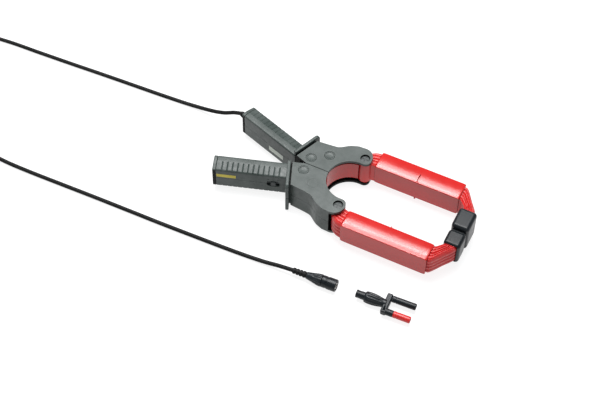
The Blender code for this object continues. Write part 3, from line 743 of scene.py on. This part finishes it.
def jaw_cover(side, middle, outer_end):
    """A jaw sleeve with a crowned top and bottom. It is rounded over at its outer end only."""
    inward = 1 if outer_end < middle else -1
    stations = [(middle, 0.0), (outer_end + inward * 6.0, 0.0), (outer_end + inward * 3.0, 0.12),
                (outer_end + inward * 1.2, 0.4), (outer_end + inward * 0.4, 0.8),
                (outer_end, 1.3)]
    r = JAW_EDGE
    sections = []
    for x, ease in stations:
        row = []
        half_w, half_h = JAW_HALF_W - ease * 0.3, (JAW_HIGH - JAW_LOW) / 2 - ease * 0.7
        for quarter, (sy, sz) in enumerate(((1, 1), (-1, 1), (-1, -1), (1, -1))):
            for i in range(6):
                a = math.radians(90 * quarter + 90 * i / 5)
                row.append(((half_w - r) * sy + r * math.cos(a),
                            (half_h - JAW_CROWN - r) * sz + r * math.sin(a)))
            if quarter in (0, 2):
                for i in range(1, 20):
                    across = 1 - i / 10
                    row.append((across * (half_w - r) * sy,
                                (half_h - JAW_CROWN * across ** 2) * sz))
        sections.append([(x, side * (JAW_Y + y), MID_Z + z) for y, z in row])
    mesh = loft(sections)
    hollow = sorted((middle - inward, outer_end + inward * 0.6))
    inside = block(*mirror_box((hollow[0], JAW_Y - JAW_HALF_W + 2, JAW_LOW + 2.6),
                               (hollow[1], JAW_Y + JAW_HALF_W - 2, JAW_HIGH - 2.6), side))
    mesh = cut(mesh, inside, core_tool(side))
    if side == LEFT:
        low, high = sorted((middle + inward, middle - inward * 0.6))
        mesh = cut(mesh, block((low, JAW_Y - JAW_HALF_W - 2, JAW_HIGH - 2.2),
                               (high, JAW_Y, JAW_HIGH + 1)))
    low, high = sorted((middle, middle - inward * 0.9))
    nubs = [rounded(block(*mirror_box((low, JAW_Y - JAW_HALF_W - 0.7, z),
                                      (high, JAW_Y - JAW_HALF_W + 1.5, z + 1.5), side)), 0.2, 2)
            for z in (JAW_LOW - 0.3, JAW_HIGH - 2.0)]
    return joined(mesh, *nubs)


def painted_shade_at_seam(centre, normal):
    """The faces painted with shade at a jaw seam: those of the nick between two jaw covers, and those
    that touch at the seam.
    """
    return abs(normal.x) > 0.9 and abs(centre.x - JAW_SEAM) < 0.8


def left_cap():
    """The left tip cap, a shroud that the right one's nose goes into."""
    mesh = rounded(block((135.4, -5.0, 4.0), (157.7, 24.6, 44.2)), 4.4, 6)
    return cut(mesh, block((137.8, -6, 9.5), (155.2, 0.6, 38.5)),
               block((138.2, 16.2, 9.2), (153.7, 30, 38.8)),
               block((TIP_X - CORE_HALF, -2, CORE_LOW), (TIP_X + CORE_HALF, 20, CORE_HIGH)))


def right_cap():
    """The right tip cap, with its nose."""
    mesh = rounded(block((135.7, -29.4, 7.5), (156.9, -7.0, 40.7)), 4.2, 6)
    nose = rounded(block((138.4, -12, 10.5), (154.6, -0.35, 37.5)), 0.9, 3)
    mesh = joined(mesh, nose)
    return cut(mesh, block((138.2, -30, 9.2), (153.7, -16.2, 38.8)),
               block((TIP_X - CORE_HALF, -20, CORE_LOW), (TIP_X + CORE_HALF, 2, CORE_HIGH)))


def end_cap(side):
    section = [(-0.1, 0), (-0.1, 15.6), (0.5, 16.8), (1.6, 17.4), (8.2, 17.4), (19.4, 14.65),
               (20.5, 13.4), (20.7, 12.6), (20.7, 0)]
    full = section + [(v, -deeper(v, h)) for v, h in reversed(section[1:-1])]
    start = HANDLE_LENGTH + 0.15
    mesh = rounded(prism(full, start, start + 4.2, handle_frame(side)), 0.8, 3)
    spigot = [(2.7, -14.4), (8.8, -14.4), (17.9, -11.7), (17.9, 11.7), (8.8, 14.4), (2.7, 14.4)]
    mesh = joined(mesh, prism(spigot, start - 7, start + 1, handle_frame(side)))
    if side == LEFT:
        hole = turned([(0, 80), (4.3, 80), (4.3, 120), (0, 120)], gland_frame(), 40)
        mesh = cut(mesh, hole)
    return mesh


def painted_shade_below_top(centre, normal):
    """The faces of an end cap that take painted shade: all but those that face up, which keep the grey
    look.
    """
    return normal.z < 0.35


def gland():
    """The strain relief: a collar, then a ribbed taper."""
    out = GLAND_S
    profile = [(0, out - 12), (4.0, out - 12), (4.0, out + 0.3), (5.2, out + 0.35),
               (5.5, out + 0.8), (5.4, out + 2.2), (4.9, out + 2.6)]
    for i in range(5):
        base, radius = out + 3.2 + 2.1 * i, 4.5 - 0.24 * i
        profile += [(radius - 0.55, base - 0.35), (radius, base), (radius, base + 0.9),
                    (radius - 0.6, base + 1.25)]
    profile += [(3.05, out + 13.6), (2.7, out + 14), (0, out + 14)]
    return turned(profile, gland_frame(), 40)


def plug_frame():
    """Local Z is the axis that the plug and the adapter share."""
    return (Matrix.Translation(PLUG_AT) @ Matrix.Rotation(PLUG_ANGLE, 4, "Z")
            @ Matrix.Rotation(math.radians(90), 4, "Y"))


def plug_look_frame():
    """The plug is drawn a little longer than its plain solids, as the adapter is."""
    return (plug_frame() @ Matrix.Translation((0, 0, PLUG_SHIFT))
            @ Matrix.Diagonal((1, 1, PLUG_STRETCH, 1)))


def adapter_frame():
    """The adapter is drawn a little longer than its plain solids."""
    start = Matrix.Translation((0, 0, ADAPTER_AT))
    return (plug_frame() @ Matrix.Translation((0, 0, ADAPTER_SHIFT)) @ start
            @ Matrix.Diagonal((1, 1, ADAPTER_STRETCH, 1)) @ start.inverted())


def plug_point(along):
    return tuple(plug_frame() @ Vector((0, 0, along)))


def fluted(start, end, flutes, depth, fade=2.0):
    """A radius rule that cuts lengthwise flutes between two heights."""
    def rule(radius, height, angle):
        share = max(0.0, min(1.0, (height - start) / fade, (end - height) / fade))
        wave = 0.5 - 0.5 * math.cos(angle * flutes)
        return radius - depth * share * wave ** 2
    return rule


def plug_boot():
    profile = [(0, 0.2), (2.9, 0.2), (3.3, 0.5)]
    for i in range(4):
        base, radius = 0.9 + 4.0 * i, 3.65 + 0.12 * i
        profile += [(radius - 0.1, base), (radius, base + 0.3), (radius, base + 2.2),
                    (radius - 0.15, base + 2.6), (radius - 0.75, base + 2.75),
                    (radius - 0.75, base + 3.6)]
    profile += [(4.0, 16.8), (0, 16.8)]
    return turned(profile, plug_look_frame(), 48)


def plug_body():
    curve = curved([(4.2, 17.4), (4.9, 21), (6.0, 26), (7.0, 30.5), (7.4, 34.2)], 4)
    profile = ([(0, 17.1), (3.8, 17.1), (4.1, 17.2)] + curve
               + [(7.3, 35.2), (7.0, 35.6), (5.0, 35.6), (5.0, 40.0), (0, 40.0)])
    return turned(profile, plug_look_frame(), 120, fluted(24.5, 35.5, 12, 0.55))


def plug_sleeve():
    profile = [(5.3, 36.0), (6.9, 36.0), (7.25, 36.3), (7.3, 40.6), (6.85, 41.0), (6.85, 42.0),
               (7.35, 42.4), (7.5, 43.0), (7.5, 51.9), (7.2, 52.7), (6.7, 53.0), (6.0, 53.0),
               (5.5, 52.6), (5.3, 52.0)]
    return turned(profile, plug_look_frame(), 96, fluted(42.6, 50.5, 16, 0.35, 1.0))


def plug_contact():
    profile = [(0, 40.3), (3.8, 40.3), (4.0, 40.6), (4.02, 52.3), (3.85, 52.6), (3.2, 52.6),
               (3.1, 43.2), (1.9, 43.0), (1.85, 49.6), (1.5, 49.9), (0.75, 49.9), (0.7, 47),
               (0, 47)]
    return turned(profile, plug_look_frame(), 48)


def adapter_jack():
    at = ADAPTER_AT
    profile = [(4.2, at + 0.3), (4.4, at), (4.6, at), (4.78, at + 0.25), (4.78, at + 1.6),
               (4.55, at + 1.8), (4.55, at + 5.6), (4.75, at + 5.9), (4.75, at + 9.9),
               (4.2, at + 9.9)]
    return turned(profile, adapter_frame(), 48)


def adapter_body():
    at = ADAPTER_AT
    curve = curved([(6.4, at + 10.6), (6.95, at + 12.5), (7.2, at + 15.5), (7.15, at + 19.5),
                   (6.7, at + 24), (5.9, at + 28), (5.2, at + 31.5)], 4)
    profile = [(0, at + 10.2), (6.0, at + 10.2)] + curve + [(5.2, at + 34.5), (0, at + 34.5)]
    mesh = turned(profile, adapter_frame(), 120, fluted(at + 12, at + 30, 10, 0.75, 3.0))
    fork = prism(rectangle(-4.0, -13.5, 4.0, 13.5), at + 32, at + 38.5, adapter_frame())
    stub = turned([(0, at + 36), (4, at + 36), (4, at + 45.6), (3.6, at + 46), (0, at + 46)],
                  adapter_frame() @ Matrix.Translation((0, -9.5, 0)), 40)
    return joined(mesh, rounded(fork, 1.5, 4), stub)


def prong(offset, start):
    """A plug sleeve of the adapter, offset across the axis."""
    at = ADAPTER_AT
    profile = [(2.6, at + start), (3.6, at + start), (4.0, at + start + 0.4),
               (4.0, at + start + 3.4), (3.75, at + start + 3.8), (3.75, at + start + 4.6),
               (4.0, at + start + 5.0), (4.0, at + 65.2), (3.7, at + 65.8), (3.3, at + 66),
               (2.6, at + 66)]
    return turned(profile, adapter_frame() @ Matrix.Translation((0, offset, 0)), 48)


def knob():
    """The selector's slide: a base, and a grip with three ridges cut across it."""
    def bar(v0, half_h, v1, half_s, middle=SELECTOR_S):
        return prism(rectangle(v0, -half_h, v1, half_h), middle - half_s, middle + half_s,
                     handle_frame(RIGHT))

    mesh = joined(rounded(bar(15.7, 5.5, 17.6, 10.5), 0.3, 2),
                  rounded(bar(16.5, 3.4, 21.4, 3), 0.6, 3))
    return cut(mesh, *(bar(21.0, 5, 22, 0.35, SELECTOR_S + d) for d in (-1.5, 0, 1.5)))


def strip(side, s0, s1, h0, h1, v, proud):
    """A thin blank strip on a handle's face at v."""
    low, high = sorted((v, v + proud))
    return rounded(prism(rectangle(low, h0, high, h1), s0, s1, handle_frame(side)), 0.12, 2)


def dress_half(side):
    """Every piece that rides on one half, apart from the gland, the label and the strip."""
    where = NAMES[side]
    body = f"{where}_half"
    for upper in (True, False):
        level = "upper" if upper else "lower"
        node = f"{where}_{level}_shell"
        piece(f"{where}_{level}_body", body_shell(side, upper), GREY, body, "grey_plastic", node,
              shaded=painted_shade_of_body(side, upper))
        piece(f"{where}_{level}_guard", guard_half(side, upper), GREY, body, "grey_plastic", node)
        piece(f"{where}_{level}_handle", handle_half(side, upper), GREY, body, "grey_plastic",
              node, angle=28)
    # The end cap has the grey look on its upward faces and painted shade on the rest.
    piece(f"{where}_cap_of_handle", end_cap(side), GREY, body, "black_plastic",
          f"{where}_end_cap", shaded=painted_shade_below_top)
    piece(f"{where}_pivot_disc", disc(PIVOT_X, PIVOT_Y * side, ring=True), GREY, body,
          "grey_plastic", f"{where}_pivot_plug")
    piece(f"{where}_screw_disc", disc(SCREW_X, SCREW_Y * side, ring=side == LEFT), GREY, body,
          "grey_plastic", f"{where}_body_plug")
    piece(f"{where}_horn_bolt", horn_screw(side), DARK_GREY, body, "black_plastic",
          f"{where}_horn_screw")
    piece(f"{where}_liner", throat_liner(side), RED, body, "red_plastic",
          f"{where}_throat_liner")
    piece(f"{where}_ribbed_neck", neck(side), RIBBED_RED, body, "red_plastic", f"{where}_neck")
    piece(f"{where}_ribbed_elbow", elbow(side), RIBBED_RED, body, "red_plastic", f"{where}_elbow")
    for end, middle, outer_end in (("rear", JAW_SEAM - SEAM_GAP, JAW_START),
                                   ("front", JAW_SEAM + SEAM_GAP, JAW_END)):
        piece(f"{where}_{end}_cover", jaw_cover(side, middle, outer_end), RED, body,
              "red_plastic", f"{where}_{end}_jaw_cover", shaded=painted_shade_at_seam)
    cap = left_cap() if side == LEFT else right_cap()
    piece(f"{where}_cap_of_jaw", cap, BLACK, body, "black_plastic", f"{where}_tip_cap")


# The lead

ROUTE_OUT = [(-178, 49.2, 19.6), (-190, 47.6, 14.4), (-203, 47.2, 10.2), (-217, 47.6, 6.8),
             (-232, 47.9, 4.2), (-250, 47.4, CORD_Z + 0.2), (-282, 45.8, CORD_Z), (-315, 44.4, CORD_Z),
             (-360, 42.5, CORD_Z), (-410, 40.0, CORD_Z), (-460, 37.8, CORD_Z),
             (-505, 36.0, CORD_Z), (-538, 31.0, CORD_Z), (-562, 15.0, CORD_Z),
             (-573, -10.0, CORD_Z), (-568, -38.0, CORD_Z), (-557, -58.0, CORD_Z + 0.4),
             (-553.2, -72.0, CORD_Z + 1.2)]
ROUTE_BACK = [(-505, -122.7, 8.4), (-491, -123.0, 5.2), (-477, -123.8, 3.1),
              (-460, -125.6, CORD_Z), (-440, -129.0, CORD_Z), (-406, -133.5, CORD_Z),
              (-370, -134.2, CORD_Z), (-320, -133.0, CORD_Z), (-270, -131.6, CORD_Z),
              (-215, -130.5, CORD_Z), (-183, -129.9, CORD_Z), (-129, -128.2, CORD_Z),
              (-83, -126.4, CORD_Z), (-50, -124.7, 3.6), (-28, -123.5, 6.6)]
# The coil's turns: (turns from its start, distance from its middle, height)
WOUND = [(0, 32.6, 4.4), (0.78, 32.6, 4.4), (0.95, 27.5, 4.4), (1.78, 27.5, 4.4),
         (1.95, 22.4, 4.4), (2.58, 22.4, 4.4), (2.76, 22.4, 9.5), (3.36, 22.4, 9.5),
         (3.56, 22.4, 14.6), (4.14, 22.4, 14.6), (4.34, 27.5, 14.6), (4.6, 27.5, 14.6),
         (4.8, 27.5, 9.5), (5.36, 27.5, 9.5), (5.56, 32.6, 9.5), (6.25, 32.6, 9.5)]
PER_TURN = 24
TIE_RADIUS, TIE_TURN, TIE_Z = 27.5, math.radians(40), 9.8


def coil_points():
    """Points along the coil, which climbs and steps in and out as WOUND says."""
    found = []
    for k in range(int(WOUND[-1][0] * PER_TURN) + 1):
        turn = k / PER_TURN
        for (t0, r0, z0), (t1, r1, z1) in zip(WOUND, WOUND[1:]):
            if t0 <= turn <= t1:
                break
        share = (turn - t0) / (t1 - t0)
        share = share * share * (3 - 2 * share)
        radius, z = r0 + (r1 - r0) * share, z0 + (z1 - z0) * share
        a = math.pi + math.tau * turn
        found.append(Vector((COIL_X + radius * math.cos(a), COIL_Y + radius * math.sin(a), z)))
    return found


def lead_points():
    """The lead's middle line, from the gland's mouth through the coil into the plug's boot."""
    start = on_handle(GLAND_S + 13.4, GLAND_V)
    first = Vector((*start, MID_Z))
    wound = coil_points()
    before = smooth([first] + ROUTE_OUT + [wound[0]], 5)
    after = smooth([wound[-1]] + ROUTE_BACK + [plug_point(1.8)], 5)
    return before[:-1] + wound + after[1:]


def coil_tie():
    """A strap round the coil, with rounded corners and a small buckle."""
    reach, thick, width = 8.3, 1.2, 6.0
    x, y = COIL_X - TIE_RADIUS * math.cos(TIE_TURN), COIL_Y - TIE_RADIUS * math.sin(TIE_TURN)
    turn = Matrix.Translation((x, y, TIE_Z)) @ Matrix.Rotation(TIE_TURN, 4, "Z")
    upright = turn @ Matrix.Rotation(math.radians(90), 4, "X")

    def ring(half_x, half_y, radius):
        found = []
        for quarter, (sx, sy) in enumerate(((1, 1), (-1, 1), (-1, -1), (1, -1))):
            found += arc(((half_x - radius) * sx, (half_y - radius) * sy), radius,
                         90 * quarter, 90 * quarter + 90, 6)
        return found

    mesh = prism(ring(reach + 0.5 + thick, reach + thick, 3.6), -width / 2, width / 2, upright)
    mesh = cut(mesh, prism(ring(reach + 0.5, reach, 2.4), -width, width, upright))
    mesh = rounded(mesh, 0.3, 2)
    buckle = prism(rectangle(-2.6, reach + 0.4, 2.6, reach + 1.5), -width / 2 - 0.6,
                   width / 2 + 0.6, upright)
    return joined(mesh, rounded(buckle, 0.4, 2))


def dress_lead():
    points = lead_points()
    strain = piece("ribbed_gland", gland(), RUBBER, "left_half", "black_rubber", "cable_gland")
    tie = piece("strap_of_coil", coil_tie(), RUBBER, "hinge_and_lead", "black_rubber",
                "lead_tie")
    boot = piece("ribbed_boot", plug_boot(), RUBBER, "hinge_and_lead", "black_rubber",
                 "plug_boot")
    grip = piece("ribbed_plug", plug_body(), BLACK, "hinge_and_lead", "black_plastic",
                 "plug_body")
    contact = piece("contact_of_plug", plug_contact(), NICKEL, "hinge_and_lead", "nickel",
                    "plug_contact")
    sleeve = piece("sleeve_of_plug", plug_sleeve(), BLACK, "plug_turning_sleeve",
                   "black_plastic", "plug_sleeve")
    lead = piece("coaxial_lead", tube(points, CORD_R, 6), RUBBER, None, "black_rubber",
                 "lead_out", "lead_coil", "lead_back")
    # Slanted, so that the stretch that comes back to the plug lies past the end and keeps still
    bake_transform(lead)


def dress_adapter():
    piece("collar_of_jack", adapter_jack(), BLACK, "adapter", "nickel", "adapter_jack")
    piece("ribbed_adapter", adapter_body(), BLACK, "adapter", "black_plastic", "adapter_body")
    piece("black_prong", prong(9.5, 38.8), BLACK, "adapter", "black_plastic",
          "black_plug_sleeve")
    piece("red_prong", prong(-9.5, 46.3), RIBBED_RED, "adapter", "red_plastic", "red_plug_sleeve")


def dress_rest():
    """Materials for the CAD nodes that stay as they are."""
    looks = {"_core": CORE, "_winding": TAPE, "_pivot_hub": STEEL, "_body_screw": STEEL,
             "_link_plate": STEEL, "_pivot_pin": STEEL, "_torsion_spring": STEEL,
             "circuit_board": BOARD, "selector_switch": STEEL, "lead_inner_end": RUBBER,
             "_plug_pin": NICKEL}
    for name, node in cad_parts.items():
        if node.hide_render:
            continue
        look = next((found for end, found in looks.items() if name.endswith(end)), None)
        if look is None:
            raise ValueError(f"no look for {name}")
        if not node.material_slots:
            node.data.materials.append(look)
        for slot in node.material_slots:
            slot.link = "OBJECT"
            slot.material = look


# Camera, floor and lights

def camera():
    aim = Vector((-36.6, -30.6, 7.9)) * MM
    distance, azimuth, elevation, roll = 1.681, 24.9, 53.7, 1.4
    a, e, t = (math.radians(value) for value in (azimuth, elevation, roll))
    back = Vector((math.sin(a) * math.cos(e), -math.cos(a) * math.cos(e), math.sin(e)))
    right = Vector((math.cos(a), math.sin(a), 0))
    up = back.cross(right)
    across = right * math.cos(t) + up * math.sin(t)
    upright = up * math.cos(t) - right * math.sin(t)
    data = bpy.data.cameras.new("camera")
    data.sensor_width, data.lens = 36.0, 81.95
    data.clip_start, data.clip_end = 0.05, 20.0
    made = holder(data, "camera")
    made.matrix_world = (Matrix.Translation(aim + back * distance)
                         @ Matrix((across, upright, back)).transposed().to_4x4())
    bpy.context.scene.camera = made


def floor():
    mesh = bpy.data.meshes.new("floor")
    mesh.from_pydata([(-6, -6, 0), (6, -6, 0), (6, 6, 0), (-6, 6, 0)], [], [(0, 1, 2, 3)])
    made, tree, shader = tree_of("pale_floor")
    shader.inputs["Base Color"].default_value = (0.22, 0.22, 0.22, 1)
    shader.inputs["Roughness"].default_value = 0.9
    shader.inputs["Specular IOR Level"].default_value = 0.1
    shader.inputs["Emission Color"].default_value = (1, 1, 1, 1)
    shader.inputs["Emission Strength"].default_value = 0.86
    mesh.materials.append(made)
    plane = holder(mesh, "floor")


def light(name, place, size, power):
    """An area light that shines straight down."""
    data = bpy.data.lights.new(name, "AREA")
    data.shape, data.size, data.size_y = "RECTANGLE", size[0], size[1]
    data.energy = power
    holder(data, name).location = place


def studio():
    bpy.context.scene.view_settings.view_transform = "Standard"
    world = bpy.data.worlds.new("studio")
    world.use_nodes = True
    sky = world.node_tree.nodes["Background"]
    sky.inputs["Color"].default_value = (0.9, 0.95, 1.0, 1)
    sky.inputs["Strength"].default_value = 0.32
    bpy.context.scene.world = world
    light("softbox", (-0.45, 0.44, 1.7), (1.7, 1.46), 27)
    light("back_strip", (-0.45, 0.76, 1.66), (1.3, 0.56), 14)
    light("streak", (-0.45, 0.66, 1.64), (1.3, 0.1), 8)
    light("front_strip", (-0.31, 0.16, 1.66), (0.9, 0.36), 14)


for half_side in (LEFT, RIGHT):
    dress_half(half_side)
piece("label_on_left_handle", strip(LEFT, 38, 62, -10.0, -2.2, 0.0, -0.12), LABEL, "left_half",
      "grey_plastic")
piece("strip_on_right_handle", strip(RIGHT, 80.5, 104, 2.0, 7.2, HANDLE_WIDTH, 0.12), OCHRE,
      "right_half", "grey_plastic")
piece("slide_knob", knob(), DARK_GREY, "selector", "black_plastic", "selector_knob")
dress_lead()
dress_adapter()
dress_rest()
floor()
studio()
camera()
